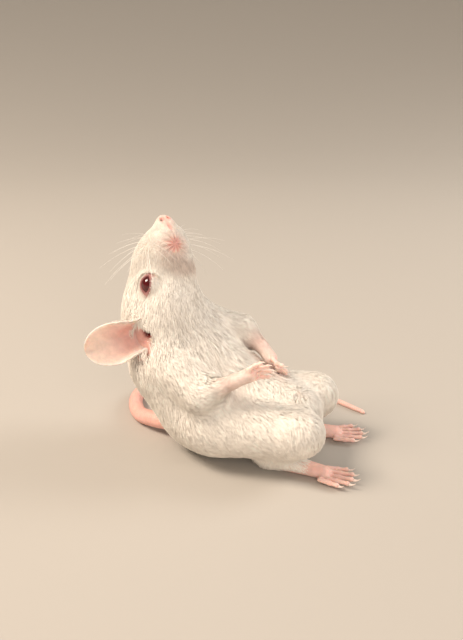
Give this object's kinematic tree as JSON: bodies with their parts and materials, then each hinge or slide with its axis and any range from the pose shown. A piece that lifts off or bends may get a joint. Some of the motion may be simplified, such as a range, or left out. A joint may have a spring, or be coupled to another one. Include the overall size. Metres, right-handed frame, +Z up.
{
  "type": "mouse figure",
  "caption": "White pet mouse as a life-size still model, sitting up on its haunches with its nose raised and its forepaws held out in front.",
  "frame": {"origin": "centre of the flat under the rump, on the floor", "axes": "+Z up, -Y the way the hips and hind feet face, -X the mouse's right side"},
  "size_m": [0.0412, 0.0475, 0.0423],
  "materials": {
    "coat": "short white fur, matt with a soft sheen",
    "bare_skin": "soft pink skin, satin",
    "eye": "deep red, wet gloss"
  },
  "bodies": {
    "root": {"trunk": "coat", "neck": "coat", "head": "coat", "nose": "bare_skin", "upper_arm_right": "coat", "forearm_right": "coat", "forepaw_right": "bare_skin", "thigh_right": "coat", "shank_right": "coat", "hind_foot_right": "bare_skin", "upper_arm_left": "coat", "forearm_left": "coat", "forepaw_left": "bare_skin", "thigh_left": "coat", "shank_left": "coat", "hind_foot_left": "bare_skin", "eye_right": "eye", "ear_right": "bare_skin", "eye_left": "eye", "ear_left": "bare_skin", "tail_base": "bare_skin", "tail_middle": "bare_skin", "tail_tip": "bare_skin"}
  },
  "joints": []
}
